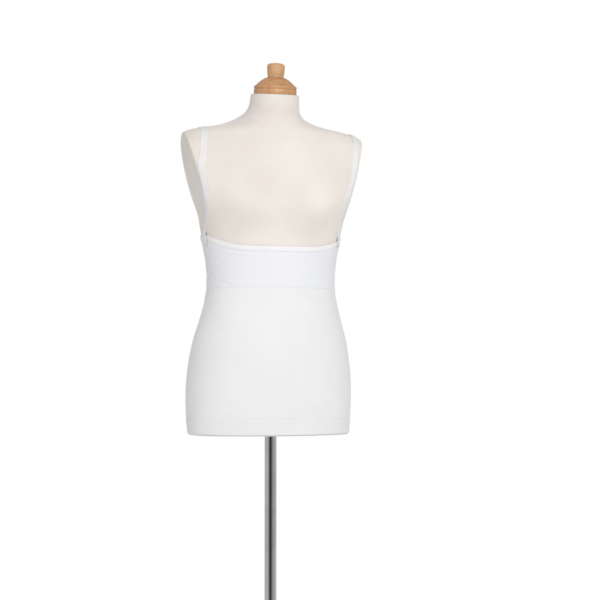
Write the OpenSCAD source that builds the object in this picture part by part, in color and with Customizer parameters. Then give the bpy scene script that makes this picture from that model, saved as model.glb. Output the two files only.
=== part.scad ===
// Dress form on a height-adjustable round-base stand, with a slip fitted over it.
// Millimetres. +Z is up, the form faces -Y, and the origin is on the floor under the mast.

/* [Form] */
// Height of the form's lower edge above the floor
form_z = 800; // [760:5:860]
// Thickness of the rigid shell
shell_t = 5; // [4:0.5:6]
// Thickness of the jersey cover
cover_t = 1; // [0.8:0.1:1.2]
// How far each breast stands proud of the chest
bust_proud = 25; // [16:1:28]
// Forward tilt of the neck's top face, in degrees
neck_tilt = 8.5; // [6:0.5:10]

/* [Stand] */
// Radius of the round base
base_r = 175; // [170:1:185]
// Thickness of the base plate
base_t = 8; // [6:1:10]
// Height of the rubber feet
foot_h = 8; // [8:1:10]
// Outer radius of the fixed lower tube
lower_r = 15; // [15:0.5:16]
// Outer radius of the sliding mast
mast_r = 12.5; // [12:0.5:12.5]
// Wall thickness of both tubes
tube_wall = 1.5; // [1.2:0.1:1.5]
// Height of the lower tube's top above the floor
lower_top = 420; // [400:5:440]
// Height of the mast's lower end above the floor
mast_foot = 160; // [160:5:180]

/* [Neck cap] */
// Radius of the turned wooden cap
cap_r = 45; // [42:0.5:46]
// Height of the cap without its knob
cap_h = 35; // [33:1:38]
// Radius of the knob
knob_r = 18.5; // [16:0.5:19]
// Height of the knob
knob_h = 31; // [28:1:36]

/* [Slip] */
// Height of the slip's hem above the form's lower edge
hem_z = 2; // [2:1:12]
// Height of the seam under the wide band
band_z = 303; // [296:1:320]
// Height of the slip's top edge at the front
top_z = 387; // [380:1:400]
// How much higher the top edge is at the sides
top_rise = 28; // [16:1:30]
// Width of the shoulder straps
strap_w = 14; // [10:1:15]

/* [Hidden] */
$fn = 72;

slide_gap = 0.05;      // radial clearance of a sliding or turning fit
skin_gap = 0.3;        // clearance between the shell and its cover
columns = 40;          // points round each ring of the form
ring_step = 0.5;       // step, in stations, from one ring of the form to the next

// The form's outline above its lower edge, one station a row:
// height, half width, y of the widest point, y of the front, y of the back, roundness
stations = [
    [0, 168, 18, -92, 126, 2.3],
    [45, 172, 20, -97, 133, 2.3],
    [95, 173, 20, -101, 135, 2.3],
    [145, 169, 16, -103, 129, 2.3],
    [195, 160, 10, -101, 116, 2.3],
    [240, 147, 5, -98, 103, 2.3],
    [280, 137, 2, -94, 92, 2.3],
    [320, 133, 0, -92, 87, 2.3],
    [360, 136, -1, -95, 88, 2.3],
    [400, 143.5, 0, -100, 94, 2.3],
    [430, 150, 0, -104, 99, 2.3],
    [455, 158, -2, -106, 103, 2.3],
    [480, 175, -5, -107, 107, 2.3],
    [510, 196, -8, -105, 111, 2.3],
    [545, 210, -10, -100, 112, 2.25],
    [580, 214, -12, -93, 106, 2.2],
    [602, 212, -14, -87, 97, 2.1],
    [614, 204, -14, -83, 89, 1.95],
    [624, 193, -12, -80, 82, 1.8],
    [632, 178, -8, -78, 76, 1.65],
    [639, 154, 0, -76.5, 70, 1.55],
    [645, 126, 10, -75.5, 65, 1.55],
    [652, 102, 16, -75, 59, 1.55],
    [661, 77, 8, -76, 50, 1.65],
    [670, 62, -8, -78, 40, 1.8],
    [681, 54, -25, -81, 29, 1.95],
    [694, 51.5, -33, -85, 19, 2.0],
    [708, 50.5, -38, -88, 13, 2.0]
];
last = len(stations) - 1;
neck_z = stations[last][0];
neck_y = stations[last][2];

// The flat arm plates: an inclined plane through a top and a bottom point
plate_top = [617, 190];
plate_foot = [480, 153];
plate_round = 7;       // softness of the plate's rim
bust_x = 78;           // centre of each breast
bust_z = 468;
bust_wide = 60;
bust_up = 80;
bust_down = 44;

mast_head = form_z + 150;                 // top of the mast inside the pole socket
lower_bore = lower_r - tube_wall;
mast_bore = mast_r - tube_wall;
plate_z = foot_h + base_t;                // top face of the base plate
clamp_z = lower_top - 18;                 // height of the clamp screw
clamp_out = 26;                           // reach of the clamp collar's boss
stud_r = 4;
lock_z = form_z + 11;                     // height of the lock screw
board_low = 24;                           // recess of the bottom board above the form's edge
board_t = 14;
shell_out = -cover_t - skin_gap;          // the shell's outer face, measured from the skin
screw_r = 1.9;                            // shanks of the screws in the board's edge
pin_r = 1.5;                              // pins in the neck block
lock_r = 3;                               // lock screw
tenon_r = 6;                              // tenon between the cap and its knob
dowel_r = 10;                             // dowel under the cap
bolt_r = 6;                               // bolt up through the base
socket_ring = 34;                         // circle the pole socket's four screws stand on

// ---- The form's surface ----

function mix(a, b, f) = a + (b - a) * f;
function clip(v, low, high) = max(low, min(high, v));
function ramp(v) = let (c = clip(v, 0, 1)) c * c * (3 - 2 * c);
function row(i) = stations[clip(i, 0, last)];
// Catmull-Rom spline through the stations at index u
function station(u) =
    let (i = min(floor(u), last - 1), f = u - i,
         p0 = i == 0 ? 2 * row(0) - row(1) : row(i - 1), p1 = row(i), p2 = row(i + 1),
         p3 = i + 2 > last ? 2 * row(last) - row(last - 1) : row(i + 2))
    p1 + 0.5 * f * ((p2 - p0) + f * ((2 * p0 - 5 * p1 + 4 * p2 - p3) + f * (3 * (p1 - p2) + p3 - p0)));
// The index u of the height z, by halving
function index_at(z, low = 0, high = last, n = 14) =
    n == 0 ? (low + high) / 2
    : let (mid = (low + high) / 2)
      station(mid)[0] < z ? index_at(z, mid, high, n - 1) : index_at(z, low, mid, n - 1);
function power(v, p) = sign(v) * pow(abs(v), p);
function smooth_min(a, b, k) = let (h = max(k - abs(a - b), 0) / k) min(a, b) - h * h * k / 4;
function plate_x(z) =
    let (slope = (plate_top[1] - plate_foot[1]) / (plate_top[0] - plate_foot[0]),
         below = max(0, plate_foot[0] - z) / 60)
    plate_foot[1] + slope * (z - plate_foot[0]) + 15 * below * below;
function bust(x, z) =
    let (left = (x + bust_x) / bust_wide,
         right = (x - bust_x) / bust_wide,
         up = (z - bust_z) / (z > bust_z ? bust_up : bust_down))
    bust_proud * (exp(-left * left) + exp(-right * right)) * exp(-up * up);
// A point of the form at outline index u and angle t; t = 270 is the front
function skin(u, t) =
    let (s = station(u), p = 2 / s[5],
         x0 = s[1] * power(cos(t), p),
         x = sign(x0) * smooth_min(abs(x0), plate_x(s[0]), plate_round),
         deep = power(sin(t), p) * (sin(t) < 0 ? s[2] - s[3] : s[4] - s[2]),
         y = s[2] + deep - (sin(t) < 0 ? bust(x, s[0]) * ramp(-2.5 * sin(t)) : 0),
         lean = ramp((s[0] - 650) / 45) * tan(neck_tilt))
    [x, y, s[0] + lean * (y - s[2])];
function unit(v) = v / max(norm(v), 1e-9);
// Outward normal; flat keeps it level for the rings at either end
function normal(u, t, flat = false) =
    let (d = 0.02, low = max(0, u - d), high = min(last, u + d),
         along = skin(high, t) - skin(low, t),
         round_it = skin(u, t + 0.5) - skin(u, t - 0.5),
         n = cross(round_it, along))
    unit(flat ? [n[0], n[1], 0] : n);
// A point at a distance outside the skin; the top ring's points stay in the neck's tilted plane
function skin_at(u, t, out) =
    let (n = normal(u, t, u <= 0 || u >= last))
    skin(u, t) + out * [n[0], n[1], u >= last ? n[1] * tan(neck_tilt) : n[2]];
function angles() = [for (i = [0:columns - 1]) 360 * i / columns];
function ring(u, out, lift = 0) = [for (t = angles()) skin_at(u, t, out) + [0, 0, lift]];
// A ring at a height that varies with the angle
function edge_ring(heights, out) =
    [for (i = [0:columns - 1]) skin_at(index_at(heights[i]), angles()[i], out)];
// A round ring in the neck's tilted top plane
function neck_ring(r, drop) =
    [for (t = angles())
        [r * cos(t), neck_y + r * sin(t) * cos(neck_tilt) + drop * sin(neck_tilt),
         neck_z + r * sin(t) * sin(neck_tilt) - drop * cos(neck_tilt)]];

// A closed wall between two stacks of rings, both given from the bottom up. Both are split into
// triangles along the same diagonals, so that one layer lies evenly over the next.
module layer(outer, inner) {
    n = len(outer[0]);
    rise = len(outer);
    count = rise + len(inner);
    rings = concat(outer, [for (k = [len(inner) - 1:-1:0]) inner[k]]);
    polyhedron(
        points = [for (r = rings) for (p = r) p],
        faces = [
            for (k = [0:count - 1]) for (i = [0:n - 1])
                let (a = k * n + i, b = k * n + (i + 1) % n,
                     c = ((k + 1) % count) * n + (i + 1) % n, d = ((k + 1) % count) * n + i)
                each k < rise ? [[a, c, b], [a, d, c]] : [[a, d, b], [b, d, c]]
        ],
        convexity = 8
    );
}

// ---- Small shared shapes ----

module tube(r, bore, low, high) {
    translate([0, 0, low])
        difference() {
            cylinder(r = r, h = high - low);
            translate([0, 0, -1]) cylinder(r = bore, h = high - low + 2);
        }
}
module disc(r, low, high) {
    translate([0, 0, low]) cylinder(r = r, h = high - low);
}
module at_neck() {
    translate([0, neck_y, form_z + neck_z]) rotate([neck_tilt, 0, 0]) children();
}
module on_form() {
    translate([0, 0, form_z]) children();
}
// Points of an arc about c from angle a to angle b
function arc(c, r, a, b, steps = 8) =
    [for (i = [0:steps]) let (t = mix(a, b, i / steps)) c + r * [cos(t), sin(t)]];

// ---- Stand ----

module base_plate() {
    edge = 4;
    color("silver")
        difference() {
            rotate_extrude()
                polygon(concat(
                    [[0, foot_h], [base_r - 2, foot_h], [base_r, foot_h + 1.5]],
                    arc([base_r - edge, plate_z - edge], edge, 0, 90),
                    [[0, plate_z]]));
            disc(bolt_r + 0.3, foot_h - 1, plate_z + 1);
        }
}
module base_feet() {
    color("dimgray")
        for (a = [45:90:315])
            rotate([0, 0, a]) translate([base_r - 24, 0, 0])
                rotate_extrude()
                    polygon([[0, 0], [12, 0], [14, 1.5], [14, foot_h], [0, foot_h]]);
}
module base_bolt() {
    color("gray")
        union() {
            disc(bolt_r, foot_h - 1.6, plate_z + 26);
            translate([0, 0, foot_h - 7.2]) cylinder(r = 10.4, h = 5.6, $fn = 6);
        }
}
module base_washer() {
    color("lightgray") tube(2 * bolt_r, bolt_r + 0.3, foot_h - 1.6, foot_h);
}
// A thin bell that hides the joint between tube and plate
module base_cover() {
    foot_r = 60;
    sweep = 40;
    top = plate_z + sweep - 4;
    middle = [foot_r, plate_z + sweep];
    color("silver")
        rotate_extrude()
            polygon(concat(
                [[foot_r - 2, plate_z], [foot_r, plate_z]],
                arc(middle, sweep - 1.5, 265, 190, 12),
                [[lower_r + 4, top], [lower_r + 0.3, top], [lower_r + 0.3, top - 2]],
                arc(middle, sweep, 192, 264, 12)));
}
module tube_plug() {
    color("gray") tube(lower_bore, bolt_r + slide_gap, plate_z, plate_z + 30);
}
module lower_tube() {
    color("silver")
        difference() {
            tube(lower_r, lower_bore, plate_z, lower_top);
            translate([0, 0, clamp_z]) rotate([0, 90, 0]) cylinder(r = stud_r + 0.3, h = 30);
        }
}
module guide_bush() {
    color("ivory")
        difference() {
            union() {
                tube(lower_bore, mast_r + slide_gap, lower_top - 45, lower_top);
                tube(lower_r + 1, mast_r + slide_gap, lower_top, lower_top + 3);
            }
            translate([0, 0, clamp_z]) rotate([0, 90, 0]) cylinder(r = stud_r + 0.3, h = 30);
        }
}
module clamp_collar() {
    color("gainsboro")
        difference() {
            union() {
                rotate_extrude()
                    polygon([[lower_r, lower_top - 36], [19, lower_top - 36], [20.5, lower_top - 34.5],
                             [20.5, lower_top - 1.5], [19, lower_top], [lower_r, lower_top]]);
                translate([17, 0, clamp_z]) rotate([0, 90, 0]) cylinder(r = 9, h = clamp_out - 17);
            }
            translate([0, 0, clamp_z]) rotate([0, 90, 0]) cylinder(r = stud_r + slide_gap, h = 40);
            disc(lower_r, lower_top - 40, lower_top + 4);
        }
}
// The clamp screw lies along +X; its parts are drawn along +Z and laid over
module along_clamp() {
    translate([0, 0, clamp_z]) rotate([0, 90, 0]) children();
}
module clamp_stud() {
    color("gray") along_clamp() disc(stud_r, mast_r + 2.6, clamp_out + 18);
}
module clamp_tip() {
    color("white") along_clamp() disc(3.4, mast_r + slide_gap, mast_r + 2.6);
}
module clamp_knob() {
    lobes = 5;
    color("darkslategray")
        along_clamp()
            difference() {
                translate([0, 0, clamp_out + 0.4])
                    rotate_extrude()
                        polygon([[0, 0], [8, 0], [9, 6], [17, 8], [18.5, 10], [18.5, 19], [16.5, 21.5],
                                 [8, 23], [0, 23]]);
                for (i = [0:lobes - 1])
                    rotate([0, 0, 360 * (i + 0.5) / lobes]) translate([22, 0, clamp_out + 5])
                        cylinder(r = 8, h = 22);
                disc(stud_r + slide_gap, clamp_out - 1, clamp_out + 18.4);
            }
}

// ---- Mast ----

module mast_tube() {
    color("silver") tube(mast_r, mast_bore, mast_foot + 3, mast_head - 3.1);
}
module mast_glide() {
    color("ivory")
        union() {
            tube(lower_bore - slide_gap, mast_bore - 3, mast_foot, mast_foot + 3);
            tube(mast_bore, mast_bore - 3, mast_foot + 3, mast_foot + 28);
        }
}
module mast_top_plug() {
    color("gray")
        union() {
            disc(mast_r, mast_head - 3.1, mast_head - 0.1);
            disc(mast_bore, mast_head - 25, mast_head - 3.1);
        }
}

// ---- Form ----

module at_socket_screws() {
    for (a = [45:90:315])
        rotate([0, 0, a]) translate([socket_ring, 0, form_z + 12]) children();
}
module pole_socket() {
    bore = mast_r + slide_gap;
    color("silver")
        difference() {
            union() {
                disc(19, form_z + 2, form_z + 21);
                disc(45, form_z + 21, form_z + 24);
                disc(16.5, form_z + 24, mast_head + 4);
            }
            disc(bore, form_z + 1, mast_head);
            at_socket_screws() cylinder(r = 2.6, h = 20);
            translate([0, 0, lock_z]) rotate([-90, 0, 0]) cylinder(r = lock_r + slide_gap, h = 40);
        }
}
module socket_screws() {
    color("lightgray")
        at_socket_screws()
            rotate_extrude() polygon([[0, 6.2], [3, 6.2], [4.6, 7.4], [5, 9], [2.3, 9], [2.3, 24], [0, 26]]);
}
// The lock screw lies along +Y, at the back of the pole socket
module along_lock() {
    translate([0, 0, lock_z]) rotate([-90, 0, 0]) children();
}
module lock_stud() {
    color("gray") along_lock() disc(lock_r, mast_r + 2.4, 31);
}
module lock_tip() {
    color("goldenrod") along_lock() disc(lock_r - 0.4, mast_r + slide_gap, mast_r + 2.4);
}
module lock_knob() {
    notches = 16;
    color("silver")
        along_lock()
            difference() {
                union() {
                    disc(5, 19.4, 24);
                    disc(8, 24, 33);
                }
                for (i = [0:notches - 1])
                    rotate([0, 0, 360 * i / notches]) translate([8.4, 0, 23]) cylinder(r = 0.8, h = 12);
                disc(lock_r + slide_gap, 19, 31.2);
            }
}
module bottom_board() {
    wall_gap = 0.5;
    inner = [
        for (t = angles())
            let (p = skin_at(index_at(board_low), t, shell_out - shell_t - wall_gap)) [p[0], p[1]]
    ];
    color("burlywood")
        difference() {
            on_form() translate([0, 0, board_low]) linear_extrude(board_t) polygon(inner);
            disc(16.8, form_z, form_z + 40);
            at_socket_screws() cylinder(r = 2.3, h = 27);
            for (p = board_screw_places())
                along_board_screw(p) cylinder(r = screw_r + slide_gap, h = 16, center = true);
        }
}
// Where the screws through the shell enter the board's edge: angles round the form
function board_screw_places() = [20, 60, 120, 160, 200, 240, 300, 340];
module along_board_screw(t) {
    middle = index_at(board_low + board_t / 2);
    p = skin_at(middle, t, shell_out - 1.6);
    n = normal(middle, t, true);
    on_form() translate(p - 8 * n) rotate([0, 90, atan2(n[1], n[0])]) children();
}
module board_screws() {
    color("gold")
        for (t = board_screw_places())
            along_board_screw(t)
                rotate_extrude()
                    polygon([[0, -6], [screw_r, -3], [screw_r, 6.2], [3.4, 8], [0, 8]]);
}
// The form's rings at a distance from its skin, with the end rings drawn in by the same amount
function form_rings(out) =
    let (count = last / ring_step, end_lift = max(out, shell_out))
    [for (k = [0:count])
        ring(k * ring_step, out, k == 0 ? -end_lift : k == count ? end_lift : 0)];
module torso_shell() {
    hole = screw_r + slide_gap;
    color("tan")
        difference() {
            on_form() layer(form_rings(shell_out), form_rings(shell_out - shell_t));
            for (t = board_screw_places())
                along_board_screw(t)
                    rotate_extrude() polygon([[0, -8], [hole, -8], [hole, 6.2], [5.7, 10], [0, 10]]);
            along_neck_pins() cylinder(r = pin_r + slide_gap, h = 30);
        }
}
// Three pins lie square to the neck's axis, each drawn along +Z from the axis outwards
module along_neck_pins() {
    at_neck()
        for (a = [30:120:270])
            rotate([0, 0, a]) translate([0, 0, -12]) rotate([0, 90, 0]) translate([0, 0, 30]) children();
}
module neck_block() {
    block_r = 41;
    block_t = 22;
    color("burlywood")
        difference() {
            at_neck() disc(block_r, -block_t, -cover_t - 0.2);
            at_neck() disc(dowel_r + slide_gap, -40, 1);
            along_neck_pins() cylinder(r = pin_r + slide_gap, h = 20);
        }
}
// Wooden pins that hold the neck block in the shell
module neck_block_pins() {
    color("wheat") along_neck_pins() cylinder(r = pin_r, h = 17);
}
module torso_cover() {
    lip = 38;
    turn_in = 7;
    color("linen")
        on_form()
            layer(concat([ring(0, -turn_in)], form_rings(0), [neck_ring(lip, 0)]),
                  concat([ring(0, -turn_in, cover_t)], form_rings(-cover_t), [neck_ring(lip, cover_t)]));
}

// ---- Wooden cap and knob ----

cap_rim = 18;       // top of the rounded bead round the cap's rim
tenon_low = 14;     // how far the finial's hole runs down from the cap's top
// The cap's sloping top, a little fuller than a straight cone
function cap_slope() =
    [for (k = [0:8]) let (f = k / 8)
        [mix(cap_r - 3, knob_r + 2.5, f), mix(cap_rim + 1, cap_h, f) + 1.3 * sin(180 * f)]];
module neck_cap() {
    color("peru")
        at_neck()
            difference() {
                rotate_extrude()
                    polygon(concat(
                        [[0, 0.1], [cap_r - 1.5, 0.1], [cap_r - 0.2, 1.4], [cap_r - 0.2, cap_rim - 7],
                         [cap_r - 1.4, cap_rim - 6.2], [cap_r - 0.4, cap_rim - 5.2]],
                        arc([cap_r - 3, cap_rim - 2.6], 3, -40, 75, 7),
                        cap_slope(),
                        [[0, cap_h]]));
                disc(dowel_r + slide_gap, -1, 10);
                disc(tenon_r + slide_gap, cap_h - tenon_low, cap_h + 1);
            }
}
module cap_dowel() {
    color("wheat") at_neck() disc(dowel_r, -30, 9.8);
}
module finial_tenon() {
    color("burlywood") at_neck() disc(tenon_r, cap_h - tenon_low + 1.8, cap_h + 10);
}
module finial_knob() {
    low = cap_h + 0.1;
    shoulder = 7;       // radius of the rounded upper edge
    dome = 60;          // radius of the nearly flat top
    color("peru")
        at_neck()
            difference() {
                rotate_extrude()
                    polygon(concat(
                        [[0, low], [knob_r - 2, low], [knob_r - 1.2, low + 1], [knob_r - 1.6, low + 3],
                         [knob_r - 0.8, low + 8], [knob_r - 0.2, low + 14], [knob_r, low + 19]],
                        arc([knob_r - shoulder, low + knob_h - shoulder - 1], shoulder, 0, 62, 8),
                        arc([0, low + knob_h - dome], dome, 76, 90, 5)));
                disc(tenon_r + slide_gap, low - 1, low + 10.4);
            }
}

// ---- Slip ----

slip_in = 0.8;         // the slip's inner face above the form's skin
body_t = 1.2;          // thickness of each piece of the slip
hem_t = 1.8;
band_t = 1.5;
binding_t = 2.2;
binding_h = 11;        // width of the top binding
hem_h = 32;            // width of the turned hem
back_rise = 8;         // how much higher the top edge is at the back
function top_edge(t) =
    top_z + back_rise * max(0, sin(t)) + top_rise * pow(abs(cos(t)), 4);
function level(z) = [for (t = angles()) z];
function top_line(down) = [for (t = angles()) top_edge(t) - down];
// A band of cloth between two edges, given as heights at each angle
module cloth_band(low, high, thick, steps) {
    function edge(k, out) = edge_ring(mix(low, high, k / steps), out);
    on_form()
        layer([for (k = [0:steps]) edge(k, slip_in + thick)], [for (k = [0:steps]) edge(k, slip_in)]);
}
module slip_hem() {
    color("whitesmoke") cloth_band(level(hem_z), level(hem_z + hem_h), hem_t, 2);
}
module slip_body() {
    color("white") cloth_band(level(hem_z + hem_h + 0.2), level(band_z), body_t, 14);
}
module slip_band() {
    color("aliceblue") cloth_band(level(band_z + 0.2), top_line(binding_h + 0.2), band_t, 4);
}
module slip_top_binding() {
    color("lavenderblush") cloth_band(top_line(binding_h), top_line(0), binding_t, 1);
}

// Each strap's distance from the middle against height, at the front and at the back.
// The right strap lies at -X and the left one at +X; they don't sit quite alike.
right_front = [[385, 138], [400, 141], [420, 145.5], [480, 151], [545, 163], [625, 152], [640, 150]];
right_back = [[400, 100], [520, 132], [600, 147], [640, 150]];
left_front = [[400, 131], [480, 138], [550, 163], [625, 172], [636, 174]];
left_back = [[400, 100], [520, 138], [600, 166], [636, 174]];
strap_up = 1.1;        // the straps' underside above the form's skin
strap_t = 1.4;
strap_n = 15;          // points from the ridge to either end

// The angle at which the form's ring u reaches x
function angle_of(u, x, front) =
    let (s = station(u), c = acos(clip(pow(min(1, abs(x) / s[1]), s[5] / 2), 0, 1)),
         a = front ? -c : c)
    x > 0 ? a : 180 - a;
// The index of the shoulder's ridge at a distance from the middle
function ridge_index(x, low = 16, high = 24, n = 16) =
    n == 0 ? low
    : let (mid = (low + high) / 2)
      station(mid)[1] > x ? ridge_index(x, mid, high, n - 1) : ridge_index(x, low, mid, n - 1);
// A strap's place on the form, as [index, angle]; f runs from -1 at the front end to 1 at the back
function strap_spot(f, hand) =
    let (top_x = lookup(700, hand > 0 ? left_front : right_front),
         top = station(ridge_index(top_x))[0],
         z = mix(top, top_z + (f < 0 ? 6 : 1), pow(abs(f), 1.8)),
         route = hand > 0 ? (f < 0 ? left_front : left_back) : (f < 0 ? right_front : right_back),
         u = index_at(z))
    [u, angle_of(u, hand * lookup(z, route), f < 0)];
function spot_point(s) = skin(s[0], s[1]);
// How far a strap is lifted to lie over the top binding
function strap_lift(s) =
    2.9 * (1 - ramp((station(s[0])[0] - top_edge(s[1]) - 5) / 16));
function strap_ahead(f, hand) =
    unit(spot_point(strap_spot(min(1, f + 0.02), hand)) - spot_point(strap_spot(max(-1, f - 0.02), hand)));
module strap(hand) {
    fs = [for (k = [-strap_n:strap_n]) k / strap_n];
    rings = [
        for (f = fs)
            let (s = strap_spot(f, hand), up = normal(s[0], s[1]),
                 side = unit(cross(strap_ahead(f, hand), up)) * strap_w / 2,
                 low = spot_point(s) + up * (strap_up + strap_lift(s)), high = low + up * strap_t)
            [low - side, low + side, high + side, high - side]
    ];
    n = len(rings);
    on_form()
        polyhedron(
            points = [for (r = rings) for (p = r) p],
            faces = concat(
                [[3, 2, 1, 0]],
                [for (k = [0:n - 2]) for (i = [0:3])
                    let (a = 4 * k + i, b = 4 * k + (i + 1) % 4)
                    each [[a, b, b + 4], [a, b + 4, a + 4]]],
                [[4 * n - 4, 4 * n - 3, 4 * n - 2, 4 * n - 1]]),
            convexity = 6);
}
module strap_left() {
    color("snow") strap(1);
}
module strap_right() {
    color("snow") strap(-1);
}
// Lays a small fitting flat on the outside of a strap, or a little off it
module on_strap(f, hand, gap) {
    s = strap_spot(f, hand);
    up = normal(s[0], s[1]);
    side = unit(cross(strap_ahead(f, hand), up));
    fore = cross(up, side);
    seat = spot_point(s) + up * (strap_up + strap_t + gap);
    on_form()
        multmatrix([
            [side[0], fore[0], up[0], seat[0]],
            [side[1], fore[1], up[1], seat[1]],
            [side[2], fore[2], up[2], seat[2]],
            [0, 0, 0, 1]])
            children();
}
slider_at = 0.62;
ring_at = 0.8;
module strap_sliders() {
    slot = [strap_w, 2.6, 4];
    color("white")
        for (hand = [-1, 1])
            on_strap(slider_at, hand, 0.2)
                difference() {
                    translate([-strap_w / 2 - 2, -5, 0]) cube([strap_w + 4, 10, 1.6]);
                    for (y = [-3.4, 0.8]) translate([-strap_w / 2, y, -1]) cube(slot);
                }
}
module strap_rings() {
    color("white")
        for (hand = [-1, 1])
            on_strap(ring_at, hand, 0.9)
                difference() {
                    cylinder(r = strap_w / 2 + 2, h = 1.8);
                    translate([0, 0, -1]) cylinder(r = strap_w / 2, h = 4);
                }
}

base_plate();
base_feet();
base_bolt();
base_washer();
base_cover();
tube_plug();
lower_tube();
guide_bush();
clamp_collar();
clamp_stud();
clamp_tip();
clamp_knob();
mast_tube();
mast_glide();
mast_top_plug();
pole_socket();
socket_screws();
lock_tip();
lock_stud();
lock_knob();
bottom_board();
board_screws();
torso_shell();
neck_block();
neck_block_pins();
torso_cover();
neck_cap();
cap_dowel();
finial_tenon();
finial_knob();
slip_body();
slip_band();
slip_top_binding();
slip_hem();
strap_left();
strap_right();
strap_sliders();
strap_rings();
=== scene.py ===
"""Dress form on a pole stand, wearing an underbust slip: the looks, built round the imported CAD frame."""
import math

import bpy
import numpy as np
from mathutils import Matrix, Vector


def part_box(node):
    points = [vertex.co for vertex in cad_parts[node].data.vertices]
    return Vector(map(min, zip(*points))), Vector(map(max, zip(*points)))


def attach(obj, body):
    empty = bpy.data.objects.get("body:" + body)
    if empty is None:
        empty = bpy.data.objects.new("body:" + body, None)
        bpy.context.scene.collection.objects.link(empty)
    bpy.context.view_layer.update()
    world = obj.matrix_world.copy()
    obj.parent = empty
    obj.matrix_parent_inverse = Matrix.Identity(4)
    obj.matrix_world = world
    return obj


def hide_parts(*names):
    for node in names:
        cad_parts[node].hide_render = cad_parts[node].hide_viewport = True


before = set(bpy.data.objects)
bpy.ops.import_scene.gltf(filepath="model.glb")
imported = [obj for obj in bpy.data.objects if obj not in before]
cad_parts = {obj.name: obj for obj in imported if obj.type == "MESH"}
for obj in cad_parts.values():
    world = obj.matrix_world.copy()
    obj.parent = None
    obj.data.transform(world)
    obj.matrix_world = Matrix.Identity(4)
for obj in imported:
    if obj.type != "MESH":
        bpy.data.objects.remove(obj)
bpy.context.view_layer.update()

MM = 0.001  # shapes are drawn in millimetres and placed in metres


def low(node):
    """The lower corner of a CAD node's box, in millimetres."""
    return np.array(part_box(node)[0]) / MM


def high(node):
    """The upper corner of a CAD node's box, in millimetres."""
    return np.array(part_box(node)[1]) / MM


# ---- The form's surface: the same outline as the CAD part's, in millimetres above its lower edge ----

FORM_Z = low("torso_cover")[2]

# One station a row: height, half width, y of the widest point, y of the front, y of the back,
# roundness
STATIONS = np.array([
    (0, 168, 18, -92, 126, 2.3),
    (45, 172, 20, -97, 133, 2.3),
    (95, 173, 20, -101, 135, 2.3),
    (145, 169, 16, -103, 129, 2.3),
    (195, 160, 10, -101, 116, 2.3),
    (240, 147, 5, -98, 103, 2.3),
    (280, 137, 2, -94, 92, 2.3),
    (320, 133, 0, -92, 87, 2.3),
    (360, 136, -1, -95, 88, 2.3),
    (400, 143.5, 0, -100, 94, 2.3),
    (430, 150, 0, -104, 99, 2.3),
    (455, 158, -2, -106, 103, 2.3),
    (480, 175, -5, -107, 107, 2.3),
    (510, 196, -8, -105, 111, 2.3),
    (545, 210, -10, -100, 112, 2.25),
    (580, 214, -12, -93, 106, 2.2),
    (602, 212, -14, -87, 97, 2.1),
    (614, 204, -14, -83, 89, 1.95),
    (624, 193, -12, -80, 82, 1.8),
    (632, 178, -8, -78, 76, 1.65),
    (639, 154, 0, -76.5, 70, 1.55),
    (645, 126, 10, -75.5, 65, 1.55),
    (652, 102, 16, -75, 59, 1.55),
    (661, 77, 8, -76, 50, 1.65),
    (670, 62, -8, -78, 40, 1.8),
    (681, 54, -25, -81, 29, 1.95),
    (694, 51.5, -33, -85, 19, 2.0),
    (708, 50.5, -38, -88, 13, 2.0),
])
LAST = len(STATIONS) - 1
NECK_TILT = math.radians(8.5)
NECK_Y, NECK_Z = STATIONS[LAST][2], STATIONS[LAST][0]
LEAN_FOOT, LEAN_RISE = 650, 45  # where the neck starts to lean, and how far up it leans fully

# The flat arm plates: an inclined plane through a top and a bottom point (height, distance from
# the middle), the softness of their rim, and how they open out below the bottom point
ARM_TOP, ARM_FOOT, ARM_ROUND = (617, 190), (480, 153), 7
ARM_FADE, ARM_FLARE = 60, 15

BUST_PROUD, BUST_X, BUST_Z = 25, 78, 468
BUST_WIDE, BUST_UP, BUST_DOWN = 60, 80, 44
BUST_FADE = 2.5  # how soon the bust rises from the form's sides towards its front


def station(u):
    """Catmull-Rom spline through the stations at indices u."""
    u = np.asarray(u, float)
    i = np.clip(np.floor(u).astype(int), 0, LAST - 1)
    f = (u - i)[..., None]
    before_first = 2 * STATIONS[0] - STATIONS[1]
    after_last = 2 * STATIONS[-1] - STATIONS[-2]
    padded = np.vstack([before_first, STATIONS, after_last])
    p0, p1, p2, p3 = padded[i], padded[i + 1], padded[i + 2], padded[i + 3]
    cube = 3 * (p1 - p2) + p3 - p0
    square = 2 * p0 - 5 * p1 + 4 * p2 - p3
    return p1 + 0.5 * f * ((p2 - p0) + f * (square + f * cube))


INDEX = np.linspace(0, LAST, 4000)
INDEX_Z = station(INDEX)[:, 0]


def index_at(z):
    """The outline's index at height z."""
    return np.interp(z, INDEX_Z, INDEX)


def ramp(v):
    """A smooth step from 0 to 1 while v goes from 0 to 1."""
    c = np.clip(v, 0, 1)
    return c * c * (3 - 2 * c)


def near(distance, width):
    """A smooth bump: 1 at distance 0, and next to nothing beyond twice the width."""
    return np.exp(-(distance / width) ** 2)


def power(v, p):
    """v to the power p, keeping v's sign."""
    return np.sign(v) * np.abs(v) ** p


def arm_plate_x(z):
    """How far the arm plates' planes are from the middle at height z."""
    slope = (ARM_TOP[1] - ARM_FOOT[1]) / (ARM_TOP[0] - ARM_FOOT[0])
    below = np.maximum(0, ARM_FOOT[0] - z) / ARM_FADE
    return ARM_FOOT[1] + slope * (z - ARM_FOOT[0]) + ARM_FLARE * below ** 2


def bust(x, z):
    """How far the breasts stand proud of the chest."""
    left, right = (x + BUST_X) / BUST_WIDE, (x - BUST_X) / BUST_WIDE
    up = (z - BUST_Z) / np.where(z > BUST_Z, BUST_UP, BUST_DOWN)
    return BUST_PROUD * (np.exp(-left ** 2) + np.exp(-right ** 2)) * np.exp(-up ** 2)


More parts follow.
